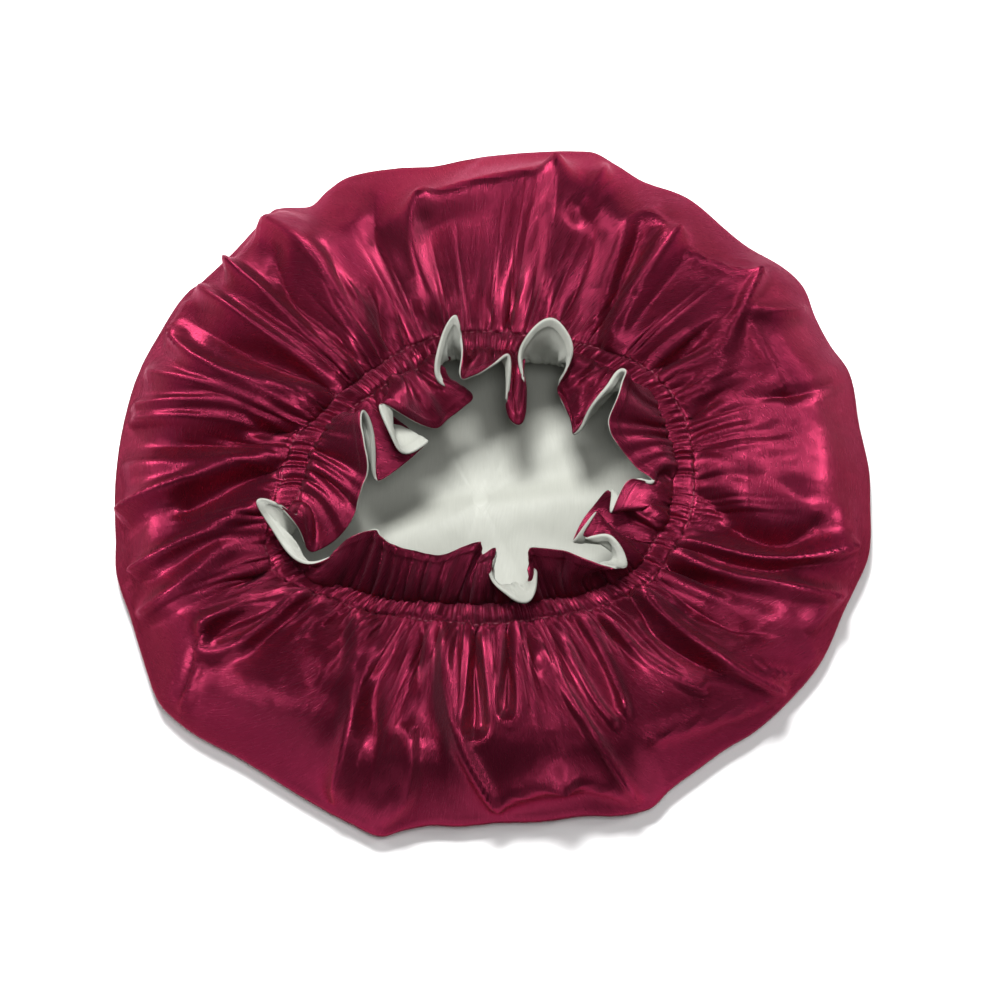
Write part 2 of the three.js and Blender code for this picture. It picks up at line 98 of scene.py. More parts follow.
# The folds as curves through three points each, in thousandths of the view from its upper left corner, then
# half the width and the height in millimetres. A height below zero is a valley.
folds = [
    ((560, 174), (490, 184), (428, 200), 6, 3.5), ((418, 204), (413, 245), (434, 305), 6, 4.5),
    ((375, 190), (378, 240), (408, 280), 6, -3.5), ((265, 222), (314, 262), (352, 345), 7, 5.5),
    ((346, 284), (361, 306), (366, 348), 2, 3), ((272, 250), (296, 305), (350, 362), 4.5, -3.5),
    ((262, 228), (239, 254), (238, 274), 4, 3), ((238, 274), (278, 306), (352, 378), 4, 4.5),
    ((198, 286), (245, 320), (350, 392), 4, 4), ((310, 322), (331, 346), (354, 374), 2, 2.5),
    ((192, 316), (250, 352), (335, 388), 4.5, -3.5), ((184, 302), (200, 362), (345, 402), 4, 4.5),
    ((150, 372), (220, 388), (320, 408), 5, 3), ((132, 408), (210, 402), (312, 414), 3, 3),
    ((128, 420), (190, 417), (246, 421), 3.5, 3), ((135, 442), (200, 440), (275, 442), 7, -4.5),
    ((122, 465), (165, 460), (225, 460), 6, 2.5), ((124, 513), (190, 480), (286, 450), 3.5, 5.5),
    ((185, 505), (240, 480), (288, 466), 4.5, -4.5), ((140, 566), (192, 538), (258, 503), 3.2, 4.5),
    ((140, 612), (180, 584), (222, 548), 4.5, 3.5), ((283, 603), (236, 611), (205, 626), 3.5, 4),
    ((205, 626), (206, 650), (244, 644), 4, 4), ((244, 644), (285, 613), (323, 583), 2, 3.5),
    ((200, 646), (191, 676), (182, 712), 3, 3), ((180, 690), (188, 668), (196, 640), 3, -3),
    ((328, 588), (317, 642), (340, 681), 2.6, 4), ((360, 624), (356, 700), (335, 800), 4.5, 5),
    ((385, 829), (403, 790), (407, 735), 5, 3), ((372, 690), (375, 740), (368, 790), 5, -3.5),
    ((430, 700), (440, 750), (450, 800), 8, -3), ((446, 642), (454, 728), (497, 804), 3.6, 5),
    ((497, 804), (520, 790), (562, 777), 5, 4), ((562, 777), (602, 783), (636, 808), 5, 4),
    ((540, 655), (580, 715), (640, 800), 2.2, 4), ((580, 622), (612, 670), (626, 710), 2, 3.5),
    ((560, 640), (590, 694), (614, 722), 2, 3), ((614, 628), (650, 664), (702, 684), 3, 3),
    ((630, 585), (690, 640), (782, 688), 3.2, 5.5), ((660, 640), (710, 668), (760, 690), 3, -3),
    ((690, 610), (750, 630), (802, 640), 7, -5), ((682, 561), (745, 579), (845, 592), 4, 4.5),
    ((700, 572), (760, 568), (850, 562), 4, -3.5), ((690, 545), (775, 557), (850, 543), 3, 4),
    ((725, 520), (780, 540), (822, 524), 6, -5), ((742, 440), (775, 482), (832, 518), 10, 2.5),
    ((848, 596), (813, 620), (816, 656), 5, 3), ((816, 656), (800, 669), (764, 665), 3, 3),
    ((784, 699), (722, 712), (655, 735), 4, 2.5), ((557, 174), (552, 240), (546, 304), 5, 4),
    ((600, 198), (590, 250), (567, 312), 8, -4.5), ((608, 160), (596, 180), (580, 206), 4.5, 3),
    ((673, 236), (640, 290), (614, 346), 5, 5.5), ((690, 250), (722, 263), (757, 273), 2, 1.5),
    ((758, 276), (739, 316), (709, 384), 2.8, 3), ((750, 311), (768, 350), (791, 390), 1.8, 1.4),
    ((699, 389), (745, 391), (789, 391), 1.6, -1.2), ((789, 391), (820, 386), (850, 377), 3, -2.2),
    ((777, 421), (764, 459), (748, 502), 1.6, -1.4), ((758, 308), (785, 310), (812, 304), 3, 2),
    ((683, 457), (713, 469), (742, 505), 3, 3.5),
]

# The pockets between the pleats at the casing: where each starts, its rounded end, then half its width and
# its depth in millimetres.
pockets = [
    ((343, 612), (347, 672), 4, 5), ((423, 622), (419, 680), 4.5, 5.5), ((440, 622), (436, 658), 2.5, 3.5),
    ((476, 624), (477, 740), 6, 7), ((508, 624), (506, 720), 5.2, 6), ((529, 618), (530, 660), 3, 4),
    ((500, 345), (522, 264), 6, 5.5), ((497, 348), (487, 304), 3, 4), ((512, 348), (515, 296), 3, 4),
    ((600, 335), (650, 214), 7, 7), ((640, 380), (711, 336), 6, 6), ((648, 392), (696, 384), 3.2, 4.5),
    ((668, 442), (718, 394), 4, 5), ((690, 486), (728, 515), 3.2, 4), ((655, 568), (733, 588), 5, 5),
    ((382, 352), (378, 290), 4.5, 5), ((405, 348), (400, 322), 3, 3.5), ((428, 345), (434, 318), 4, 4.5),
    ((312, 430), (252, 429), 4, 5), ((312, 410), (266, 410), 2.5, 3), ((280, 566), (232, 584), 4, 5),
    ((355, 362), (342, 335), 2.5, 3), ((335, 392), (314, 392), 3, 3), ((640, 604), (652, 640), 3, 4),
    ((596, 616), (622, 650), 3, 4),
]

# The ruffle's edge: the angle of its root on the casing, then how far it lies in toward the mouth, along
# counterclockwise and up, as shares of the ruffle's width.
ruffle = [
    (-2, 0.22, -0.12, 0.4), (6, 0.5, -0.15, 0.4), (14, 0.75, 0.1, 0.6), (24, 0.25, 0.35, 0.8),
    (31, 0.65, -0.05, 0.6), (36, 1, -0.3, 0.1), (41, 0.8, -0.15, -0.05), (46, 0.55, 0.1, 0),
    (51, 0.3, 0, 0.35), (56, -0.1, -0.1, 0.6), (61, -0.3, 0.1, 0.8), (65, -0.1, 0.15, 0.7),
    (68, 0.15, 0.1, 0.45), (71, 0.45, -0.2, 0.2), (74, 0.9, -0.35, -0.05), (77, 0.8, -0.15, 0.05),
    (81, 0.15, -0.15, 0.55), (86, 0.4, 0, 0.5), (92, 0.45, 0.2, 0.4), (96, 0.05, 0.05, 0.6),
    (100, -0.3, -0.05, 0.8), (104, -0.1, 0.05, 0.65), (108, 0.35, 0.15, 0.3), (112, 0.55, -0.2, 0.15),
    (116, 0.7, -0.4, 0.1), (121, 0.8, -0.1, -0.05), (126, 0.85, 0.1, 0.05), (129, 0.55, 0.3, 0.35),
    (132, 0.25, 0.4, 0.6), (136, 0.65, 0.5, 0.45), (139, 0.9, 0.45, 0.25), (143, 1, 0, 0.05),
    (148, 0.95, 0.4, -0.05), (152, 0.75, 0.7, -0.1), (155, 0.6, 0.3, 0.2), (158, 0.35, -0.1, 0.6),
    (162, 0.45, 0, 0.7), (168, 0.75, 0.3, 0.55), (176, 0.7, 0.55, 0.35), (184, 0.45, 0.75, 0.2),
    (189, 0.1, 0.7, 0.1), (193, 0.05, 0.25, 0.4), (197, -0.05, -0.25, 0.65), (200, -0.25, -0.5, 0.7),
    (204, -0.15, -0.35, 0.5), (209, 0, 0, 0.42), (213, 0.3, -0.05, 0.35), (217, 0.45, -0.2, 0.55),
    (222, 0.6, -0.2, 0.75), (228, 0.5, -0.2, 0.7), (236, 0.5, -0.1, 0.6), (247, 0.45, 0, 0.55),
    (259, 0.65, 0.2, 0.75), (267, 0.45, 0.1, 0.55), (274, 0.5, 0.15, 0.75), (280, 0.2, -0.1, 0.5),
    (286, -0.2, 0.08, 0.42), (292, 0.2, 0.15, 0.45), (298, 0.5, 0, 0.75), (305, 0.35, 0.2, 0.65),
    (312, 0, 0.3, 0.5), (319, -0.1, 0.25, 0.4), (324, 0.35, 0.2, 0.6), (328, 0.7, -0.1, 0.4),
    (333, 0.75, 0.15, 0.55), (337, 0.95, -0.4, 0.15), (341, 0.95, 0, 0.05), (345, 0.75, 0.25, 0.25),
    (349, 0.7, -0.3, 0.45), (353, 0.55, 0.05, 0.5),
]


def read_table(rows, column, angle):
    """A smooth closed curve through one column of a table, read at plan angles in degrees."""
    places = np.array([row[0] for row in rows], float)
    values = np.array([row[column] for row in rows], float)
    count = len(rows)
    turned = (angle - places[0]) % 360 + places[0]
    before = np.searchsorted(places, turned, side="right") - 1

    def place(index):
        return places[index % count] + 360 * (index // count)

    def slope(index):
        rise = values[(index + 1) % count] - values[(index - 1) % count]
        return rise / (place(index + 1) - place(index - 1))

    span = place(before + 1) - place(before)
    share = (turned - place(before)) / span
    return (
        (2 * share**3 - 3 * share**2 + 1) * values[before]
        + (share**3 - 2 * share**2 + share) * span * slope(before)
        + (3 * share**2 - 2 * share**3) * values[(before + 1) % count]
        + (share**3 - share**2) * span * slope(before + 1)
    )


widest = [out * math.cos(math.radians(at)) for at, out in rim]
rim_unit = laid_width / (max(widest) - min(widest))


every_degree = np.arange(360.0)
turn_unit = np.stack([np.cos(np.radians(every_degree)), np.sin(np.radians(every_degree))], 1)
mouth_line = turn_unit * read_table(casing, 1, every_degree)[:, None] * mouth_width / 2
elastic_middle = (elastic_low + elastic_high) / 2
mouth_centre = np.array(elastic_middle)[:2] - (mouth_line.max(0) + mouth_line.min(0)) / 2


def ring(angle, distance, height, shift=0.0):
    """One closed row of points round the mouth's centre."""
    turn = np.radians(angle)
    spokes = np.stack([np.cos(turn), np.sin(turn)], 1) * np.reshape(distance, (-1, 1))
    flat = spokes + mouth_centre + [0, shift]
    return np.column_stack([flat, np.broadcast_to(height, angle.shape)])


def rim_distance(angle):
    return read_table(rim, 1, angle) * rim_unit


def casing_distance(angle, across):
    """across: 0.5 at the row of stitches on the sack's side, -0.5 at the one on the ruffle's side."""
    return read_table(casing, 1, angle) * mouth_width / 2 + across * casing_width


def seen(points):
    """Where points appear in the view, in thousandths from its upper left corner."""
    side = points - np.array(aim)
    near = camera_distance / (camera_distance - side @ np.array(away))
    across = side[..., 0] * near
    up = (side[..., 1] * math.sin(camera_elevation) + side[..., 2] * math.cos(camera_elevation)) * near
    return np.stack([500 + 1000 * across / width_in_view, 500 - 1000 * up / width_in_view], -1)


def distance_to_curve(places, start, middle, end):
    """The distance in the view, in millimetres, from places to a curve through three points."""
    share = np.linspace(0, 1, 11)[:, None]
    start, middle, end = (np.array(point, float) for point in (start, middle, end))
    curve = start * (1 - share) * (1 - 2 * share) + middle * 4 * share * (1 - share)
    curve = curve + end * share * (2 * share - 1)
    nearest = np.full(places.shape[:-1], np.inf)
    for first, second in zip(curve[:-1], curve[1:]):
        step = second - first
        along = np.clip(((places - first) @ step) / (step @ step), 0, 1)
        nearest = np.minimum(nearest, np.linalg.norm(places - first - along[..., None] * step, axis=-1))
    return nearest * width_in_view


def fold_relief(points):
    """How far the cloth stands out or dips at each point, in metres."""
    places = seen(points)
    relief = np.zeros(places.shape[:-1])
    for start, middle, end, wide, high in folds:
        relief += fold_gain * high * np.exp(-((distance_to_curve(places, start, middle, end) / wide) ** 1.5))
    for start, end, wide, deep in pockets:
        start, end = np.array(start, float), np.array(end, float)
        length = np.linalg.norm(end - start) * width_in_view
        onward = (end - start) / np.linalg.norm(end - start)
        offset = (places - start) * width_in_view
        along = offset @ onward
        aside = offset @ np.array([-onward[1], onward[0]])
        past = np.maximum(0, along - (length - wide))
        share = np.hypot(aside, past) / (wide * (0.45 + 0.55 * np.clip(along / length, 0, 1)))
        opening = np.clip(along / 4, 0, 1) * (1 - 0.3 * np.clip(along / length, 0, 1))
        lip = 0.3 * np.exp(-(((share - 1.2) / 0.4) ** 2))
        hollow = np.exp(-1.6 * share**2.4)
        relief += pocket_gain * opening * deep * (lip - hollow)
    return relief / 1000


def underside_row(angle, out):
    """A row below the widest line: flat on the floor out to 0.62 of the rim, then turning up."""
    turn_up = max(0, (out - 0.62) / 0.38)
    height = half_gap + (rim_height - half_gap) * (1 - math.sqrt(max(0, 1 - turn_up**2.2)))
    return ring(angle, out * rim_distance(angle), height, rim_shift * out)


def topside_row(angle, toward):
    """A row above the widest line, from 0 at the rim to 1 at the casing."""
    outer = rim_distance(angle)
    if toward < 0.4:
        climb = 0.9 * (1 - (1 - toward / 0.4) ** 1.9)
    else:
        climb = 0.9 + 0.1 * (toward - 0.4) / 0.6
    height = rim_height + (casing_height - rim_height) * climb + pillow_rise * math.sin(math.pi * toward**0.8)
    distance = outer + (casing_distance(angle, 0.5) - outer) * toward
    return ring(angle, distance, height, rim_shift * (1 - toward))


# The sack is draped as cloth, with more cloth round each row than the drawn-in top has room for, so that it
# buckles by itself, starting from the folds of the table. Only a share of that slump is used, fading out
# toward the casing.
drape_columns = 400
drape_scale = 10.0
drape_frames = 50
gather_ratio = 1.8
drape_share = 0.3
slump_fade = 0.4
underside_shares = [0.30, 0.45, 0.58, 0.66, 0.74, 0.81, 0.87, 0.92, 0.96, 0.985]
topside_shares = [0.0, 0.02, 0.05] + list(np.linspace(0.08, 0.985, 25))
drape_angle = np.arange(drape_columns) * 360.0 / drape_columns
sack_rows = [underside_row(drape_angle, out) for out in underside_shares]
sack_rows += [topside_row(drape_angle, toward) for toward in topside_shares]
sack_rows += [
    ring(drape_angle, casing_distance(drape_angle, across), casing_height) for across in (0.5, 0, -0.5)
]
smooth_sack = np.array(sack_rows)


def outward_normals(grid):
    """The cloth's outward direction at each point of a grid of rows."""
    around = np.roll(grid, -1, 1) - np.roll(grid, 1, 1)
    onward = np.gradient(grid, axis=0)
    normal = np.cross(around, onward)
    return normal / np.maximum(np.linalg.norm(normal, axis=2, keepdims=True), 1e-9)


def folded(grid, toward):
    """A grid of rows with the folds laid into it, fading out at the rim and at the casing."""
    toward = np.array(toward)
    shown = np.clip(toward / 0.15, 0, 1) * np.clip((1 - toward) / 0.04, 0, 1)
    relief = fold_relief(grid) * (shown * shown * (3 - 2 * shown))[:, None]
    relief = np.where(relief < 0, relief * np.clip(toward / 0.45, 0.3, 1)[:, None], relief)
    return grid + outward_normals(grid) * relief[:, :, None]


sack_row_count = len(smooth_sack)
first_casing_row = sack_row_count - 3


def drape_sack(start):
    """Runs Blender's Cloth on the sack and returns its rows of points."""
    rows, columns, _ = start.shape
    ratio = np.ones(rows)
    for row, toward in enumerate(topside_shares):
        ratio[len(underside_shares) + row] = 1 + (gather_ratio - 1) * toward**2
    ratio[first_casing_row:] = gather_ratio
    flat_steps = np.linalg.norm((np.roll(start, -1, 1) - start)[:, :, :2], axis=2)
    rest_radius = ratio * flat_steps.sum(1) / (2 * math.pi)
    row_steps = 1.04 * np.linalg.norm(start[1:] - start[:-1], axis=2).mean(1)
    climb = np.sqrt(np.maximum(row_steps**2 - np.diff(rest_radius) ** 2, (0.05 * row_steps) ** 2))
    rest_height = np.concatenate([[0], np.cumsum(climb)])
    rest = np.array([ring(drape_angle, np.full(columns, r), h) for r, h in zip(rest_radius, rest_height)])
    seeded = folded(start, [0] * len(underside_shares) + list(topside_shares) + [1] * 3)
    uneven = np.random.default_rng(4).normal(0, 0.0002, (rows, columns))
    uneven[: len(underside_shares)] = 0
    uneven[first_casing_row:] = 0
    seeded[:, :, 2] += uneven

    index = np.arange(rows * columns).reshape(rows, columns)
    right = np.roll(index, -1, 1)
    quads = np.stack([index[:-1], right[:-1], right[1:], index[1:]], 2).reshape(-1, 4)
    mesh = bpy.data.meshes.new("drape")
    mesh.from_pydata((seeded.reshape(-1, 3) * drape_scale).tolist(), [], quads.tolist())
    cloth = bpy.data.objects.new("drape", mesh)
    scene = bpy.context.scene
    scene.collection.objects.link(cloth)
    cloth.shape_key_add(name="Basis")
    rest_key = cloth.shape_key_add(name="rest")
    rest_key.data.foreach_set("co", rest.reshape(-1) * drape_scale)
    rest_key.value = 0
    held = cloth.vertex_groups.new(name="held")
    hold = [1.0 if out < 0.6 else 0.4 if out < 0.8 else 0.12 for out in underside_shares]
    hold += [0.12 if toward < 0.02 else 0.02 for toward in topside_shares]
    hold += [1.0, 1.0, 1.0]
    for row, weight in enumerate(hold):
        held.add(index[row].tolist(), weight, "REPLACE")
    plane = bpy.data.meshes.new("drape_floor")
    reach = 4.0
    corners = [(-reach, -reach, 0), (reach, -reach, 0), (reach, reach, 0), (-reach, reach, 0)]
    plane.from_pydata(corners, [], [(0, 1, 2, 3)])
    under = bpy.data.objects.new("drape_floor", plane)
    scene.collection.objects.link(under)
    under.modifiers.new("collision", "COLLISION")
    under.collision.thickness_outer = 0.002
    cloth_modifier = cloth.modifiers.new("cloth", "CLOTH")
    settings = cloth_modifier.settings
    settings.quality = 6
    settings.mass = 0.05
    settings.air_damping = 2
    settings.tension_stiffness = 20
    settings.compression_stiffness = 20
    settings.shear_stiffness = 2
    settings.bending_stiffness = 0.5
    settings.tension_damping = 10
    settings.compression_damping = 10
    settings.shear_damping = 5
    settings.bending_damping = 0.5
    settings.vertex_group_mass = "held"
    settings.pin_stiffness = 1
    settings.rest_shape_key = rest_key
    settings.effector_weights.gravity = 0.3
    collision = cloth_modifier.collision_settings
    collision.distance_min = 0.004
    collision.use_self_collision = True
    collision.self_distance_min = 0.008
    collision.self_friction = 2
    collision.collision_quality = 3
    cloth_modifier.point_cache.frame_start = 1
    cloth_modifier.point_cache.frame_end = drape_frames
    scene.frame_start = 1
    scene.frame_end = drape_frames
    for step in range(1, drape_frames + 1):
        scene.frame_set(step)
    draped = cloth.evaluated_get(bpy.context.evaluated_depsgraph_get())
    points = np.empty(rows * columns * 3)
    draped.data.vertices.foreach_get("co", points)
    scene.frame_set(1)
    for made in (cloth, under):
        bpy.data.objects.remove(made)
    for made in (mesh, plane):
        bpy.data.meshes.remove(made)
    return points.reshape(rows, columns, 3) / drape_scale


use_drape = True
laid_sack = folded(smooth_sack, [0] * len(underside_shares) + list(topside_shares) + [1] * 3)
draped_sack = drape_sack(smooth_sack) if use_drape else laid_sack
topside_shown = [min(1, (1 - toward) / slump_fade) ** 2 for toward in topside_shares]
slump_shown = np.array([1] * len(underside_shares) + topside_shown + [0] * 3)
slump = drape_share * slump_shown[:, None, None] * (draped_sack - laid_sack)


def cubic(samples, places, axis, closed):
    """Reads rows of points between their samples on a smooth curve, at fractional places."""
    samples = np.moveaxis(samples, axis, 0)
    count = len(samples)
    before = np.floor(places).astype(int)
    share = (places - before).reshape((-1,) + (1,) * (samples.ndim - 1))

    def at(index):
        return samples[index % count if closed else np.clip(index, 0, count - 1)]

    a, b, c, d = at(before - 1), at(before), at(before + 1), at(before + 2)
    curve = b + 0.5 * share * (c - a + share * (2 * a - 5 * b + 4 * c - d + share * (3 * (b - c) + d - a)))
    return np.moveaxis(curve, 0, axis)


# The fine grid: rows from the middle of the crown to the ruffle's edge, columns round the mouth.
columns = 1040
angle = np.arange(columns) * 360.0 / columns
crown_shares = [0.02, 0.07, 0.13, 0.21]
sack_places = np.concatenate(
    [
        np.linspace(0, 9, 8),
        np.linspace(9.7, first_casing_row - 8, 28),
        np.linspace(first_casing_row - 7.6, first_casing_row, 20),
    ]
)
topside_places = np.arange(len(underside_shares), first_casing_row)
toward_rows = np.interp(sack_places, topside_places, topside_shares, left=0, right=1)
casing_across = np.linspace(0.5, -0.5, 9)[1:]
ruffle_toward = np.concatenate([np.linspace(0, 0.86, 14)[1:], [0.89, 0.905, 0.92, 0.94, 0.96, 0.98, 1]])
column_places = np.arange(columns) * drape_columns / columns
smooth_fine = cubic(cubic(smooth_sack, column_places, 1, True), sack_places, 0, False)
slump_fine = cubic(cubic(slump, column_places, 1, True), sack_places, 0, False)
fine_sack = folded(smooth_fine, toward_rows) + slump_fine
crown = np.array([underside_row(angle, out) for out in crown_shares])
waver = 0.0002 * np.sin(np.radians(17 * angle) + 1) + 0.0002 * np.sin(np.radians(29 * angle) + 2)
casing_out = [casing_distance(angle, across) + waver for across in casing_across]
casing_rows = np.array([ring(angle, distance, casing_height + 0.5 * waver) for distance in casing_out])


def ruffle_rows():
    """The ruffle from its root on the casing to its edge, arched between them."""
    turn = np.radians(angle)
    inward = np.stack([-np.cos(turn), -np.sin(turn), np.zeros(columns)], 1)
    along = np.stack([-np.sin(turn), np.cos(turn), np.zeros(columns)], 1)
    up = np.array([0, 0, 1.0])
    share = [read_table(ruffle, column, angle)[:, None] for column in (1, 2, 3)]
    reach = inward * share[0] + along * share[1] + up * share[2]
    length = np.linalg.norm(reach, axis=1, keepdims=True)
    lean = up + 0.5 * inward
    lean = lean - reach * (lean * reach).sum(1, keepdims=True) / length**2
    arch = 0.34 * np.sqrt(1 - np.minimum(length, 1) ** 2)
    root = casing_rows[-1]
    rows = []
    for toward in ruffle_toward:
        rows.append(root + ruffle_width * (toward * reach + lean * arch * 4 * toward * (1 - toward)))
    return np.array(rows)


def clear_of_casing(rows):
    """Lifts the cloth of the ruffle that leans out over the casing, so that it lies on it."""
    offset = rows[:, :, :2] - mouth_centre
    around = np.degrees(np.arctan2(offset[:, :, 1], offset[:, :, 0]))
    inner = casing_distance(around.reshape(-1), -0.5).reshape(around.shape)
    over = np.clip((np.linalg.norm(offset, axis=2) - inner) / 0.007, 0, 1)
    lifted = rows.copy()
    rise = 0.006 * over * over * np.clip(ruffle_toward * 2.5, 0, 1)[:, None]
    lifted[:, :, 2] = np.maximum(rows[:, :, 2], casing_height + rise)
    return lifted


middle = np.concatenate([crown, fine_sack, casing_rows, clear_of_casing(ruffle_rows())])
row_count = len(middle)
casing_start = len(crown) + len(fine_sack) - 1
ruffle_start = casing_start + len(casing_rows)


def pleats(turns, drift_size, sharp):
    """Rounded ridges with narrow valleys round the mouth, uneven in width: 0 in a valley and 1 on a ridge."""
    turn = np.radians(angle)
    drift = np.sin(7 * turn + 1) + 0.8 * np.sin(17 * turn + 2)
    drift = drift + 0.6 * np.sin(29 * turn + 4) + 0.4 * np.sin(53 * turn)
    return np.abs(np.cos(turns * turn / 2 + drift_size * drift)) ** sharp


# The distance along the cloth from the casing's two rows of stitches, and where the cloth puffs between them.
along_cloth = np.concatenate([[0], np.cumsum(np.linalg.norm(np.diff(middle, axis=0), axis=2).mean(1))])
before_casing = np.maximum(0, along_cloth[casing_start] - along_cloth)
past_casing = np.maximum(0, along_cloth - along_cloth[ruffle_start])
in_casing = (before_casing == 0) & (past_casing == 0)
across_casing = np.clip((along_cloth - along_cloth[casing_start]) / casing_width, 0, 1)
casing_puff = np.where(in_casing, np.sin(math.pi * across_casing), 0)
fine_pleats = 0.35 * pleats(158, 2.2, 0.8) + 0.75 * pleats(91, 3.1, 0.9)
wide_pleats = pleats(58, 1.9, 0.8)
long_pleats = pleats(33, 2.3, 1.0)
fine_reach = 0.0025 * np.exp(-before_casing / 0.004 - past_casing / 0.005)
pleat_length = 1 + 0.35 * np.sin(np.radians(9 * angle) + 1) + 0.3 * np.sin(np.radians(23 * angle))
sack_start = 1 - np.exp(-((before_casing / 0.004) ** 2))[:, None]
wide_reach = 0.0018 * sack_start * np.exp(-((before_casing[:, None] / (0.015 * pleat_length)) ** 2))
long_reach = 0.0020 * sack_start * np.exp(-((before_casing[:, None] / (0.034 * pleat_length)) ** 2))
ruffle_reach = 0.0028 * (np.exp(-((past_casing / 0.013) ** 2)) * (1 - np.exp(-past_casing / 0.002)))[:, None]
gather_height = fine_reach[:, None] * fine_pleats * np.where(in_casing, 0.45 + 0.55 * casing_puff, 1)[:, None]
ruffle_share = np.clip(past_casing / ruffle_width, 0, 1)
face_reach = 0.0026 * np.sin(math.pi * ruffle_share**0.8)
face_pleats = 2 * pleats(31, 1.9, 1.0) - 1
pleat_height = (wide_reach + ruffle_reach) * wide_pleats + long_reach * long_pleats
pleat_height = pleat_height + face_reach[:, None] * face_pleats
middle = middle + outward_normals(middle) * pleat_height[:, :, None]

# The gathers run straight out of the casing, and the ruffle's edge bends in smooth curves.
straight_passes = 26
smooth_passes = 12
drawn_straight = np.zeros(row_count)
drawn_straight[len(crown) : casing_start] = np.clip((toward_rows[:-1] - 0.45) / 0.25, 0, 1)
for _ in range(straight_passes):
    between_rows = 0.5 * (middle[2:] + middle[:-2]) - middle[1:-1]
    middle[1:-1] += 0.5 * drawn_straight[1:-1, None, None] * between_rows
bent_smooth = np.clip(past_casing / (0.4 * ruffle_width), 0, 1)
for _ in range(smooth_passes):
    between_columns = 0.5 * (np.roll(middle, 1, 1) + np.roll(middle, -1, 1)) - middle
    middle += 0.5 * bent_smooth[:, None, None] * between_columns
normals = outward_normals(middle)
edge_swell = np.clip((along_cloth - along_cloth[-1] + 0.0036) / 0.0006, 0, 1)
parting = (half_gap + 0.0013 * casing_puff**0.5 + 0.0005 * edge_swell)[:, None] + gather_height


def flat_places(spread):
    """Where each point of the grid lay on the flat round of cloth, for the weave."""
    turn = np.radians(angle)
    return np.stack([spread[:, None] * np.cos(turn), spread[:, None] * np.sin(turn)], 2)


def cloth_mesh(name, grid, spread):
    """A smooth sheet from rows of points, closed at the crown's middle, with the flat cut as its UV map."""
    rows = len(grid)
    index = np.arange(rows * columns).reshape(rows, columns)
    right = np.roll(index, -1, 1)
    quads = np.stack([index[:-1], right[:-1], right[1:], index[1:]], 2).reshape(-1, 4)
    centre = rows * columns
    fan = np.stack([np.full(columns, centre), right[0], index[0]], 1)
    points = np.concatenate([grid.reshape(-1, 3), grid[0].mean(0, keepdims=True)])
    mesh = bpy.data.meshes.new(name)
    mesh.from_pydata(points.tolist(), [], quads.tolist() + fan.tolist())
    mesh.shade_smooth()
    flat = np.concatenate([flat_places(spread).reshape(-1, 2), [[0, 0]]])
    corners = np.empty(len(mesh.loops), int)
    mesh.loops.foreach_get("vertex_index", corners)
    mesh.uv_layers.new(name="flat").data.foreach_set("uv", flat[corners].reshape(-1))
    piece = bpy.data.objects.new(name, mesh)
    bpy.context.scene.collection.objects.link(piece)
    return piece


# The weave group: the fine ribs of satin as a bump and the slight unevenness of its gloss and colour.
weave = bpy.data.node_groups.new("satin_weave", "ShaderNodeTree")
weave.interface.new_socket("Color", in_out="INPUT", socket_type="NodeSocketColor")
weave.interface.new_socket("Shade", in_out="INPUT", socket_type="NodeSocketColor")
weave.interface.new_socket("Roughness", in_out="INPUT", socket_type="NodeSocketFloat")
weave.interface.new_socket("Color", in_out="OUTPUT", socket_type="NodeSocketColor")
weave.interface.new_socket("Roughness", in_out="OUTPUT", socket_type="NodeSocketFloat")
weave.interface.new_socket("Height", in_out="OUTPUT", socket_type="NodeSocketFloat")


def put(tree, kind, **values):
    """Adds a node with the given properties, and numbered inputs given as in_NUMBER."""
    node = tree.nodes.new(kind)
    for key, value in values.items():
        if key.startswith("in_"):
            node.inputs[int(key[3:])].default_value = value
        else:
            setattr(node, key, value)
    return node


group_in = put(weave, "NodeGroupInput")
group_out = put(weave, "NodeGroupOutput")
flat_map = put(weave, "ShaderNodeUVMap", uv_map="flat")
threads = put(weave, "ShaderNodeTexWave", in_1=900.0, in_2=1.5, in_3=2.0)
threads.bands_direction = "X"
stretched = put(weave, "ShaderNodeMapping")
stretched.inputs["Scale"].default_value = (1.0, 0.08, 1.0)
slubs = put(weave, "ShaderNodeTexNoise", in_2=1500.0, in_3=3.0)
blotches = put(weave, "ShaderNodeTexNoise", in_2=28.0, in_3=4.0)
weave.links.new(flat_map.outputs[0], threads.inputs[0])
weave.links.new(flat_map.outputs[0], stretched.inputs[0])
weave.links.new(stretched.outputs[0], slubs.inputs[0])
weave.links.new(flat_map.outputs[0], blotches.inputs[0])
height_sum = put(weave, "ShaderNodeMath", operation="ADD")
weave.links.new(threads.outputs["Fac"], height_sum.inputs[0])
weave.links.new(slubs.outputs["Fac"], height_sum.inputs[1])
weave.links.new(height_sum.outputs[0], group_out.inputs["Height"])
shade_mix = put(weave, "ShaderNodeMix", data_type="RGBA")
mottle = put(weave, "ShaderNodeMath", operation="MULTIPLY")
weave.links.new(blotches.outputs["Fac"], mottle.inputs[0])
weave.links.new(slubs.outputs["Fac"], mottle.inputs[1])
mottle_gain = put(weave, "ShaderNodeMath", operation="MULTIPLY", in_1=1.8)
weave.links.new(mottle.outputs[0], mottle_gain.inputs[0])
weave.links.new(mottle_gain.outputs[0], shade_mix.inputs["Factor"])
weave.links.new(group_in.outputs["Color"], shade_mix.inputs["A"])
weave.links.new(group_in.outputs["Shade"], shade_mix.inputs["B"])
weave.links.new(shade_mix.outputs["Result"], group_out.inputs["Color"])
gloss_shift = put(weave, "ShaderNodeMath", operation="MULTIPLY_ADD", in_1=0.16, in_2=-0.08)
weave.links.new(slubs.outputs["Fac"], gloss_shift.inputs[0])
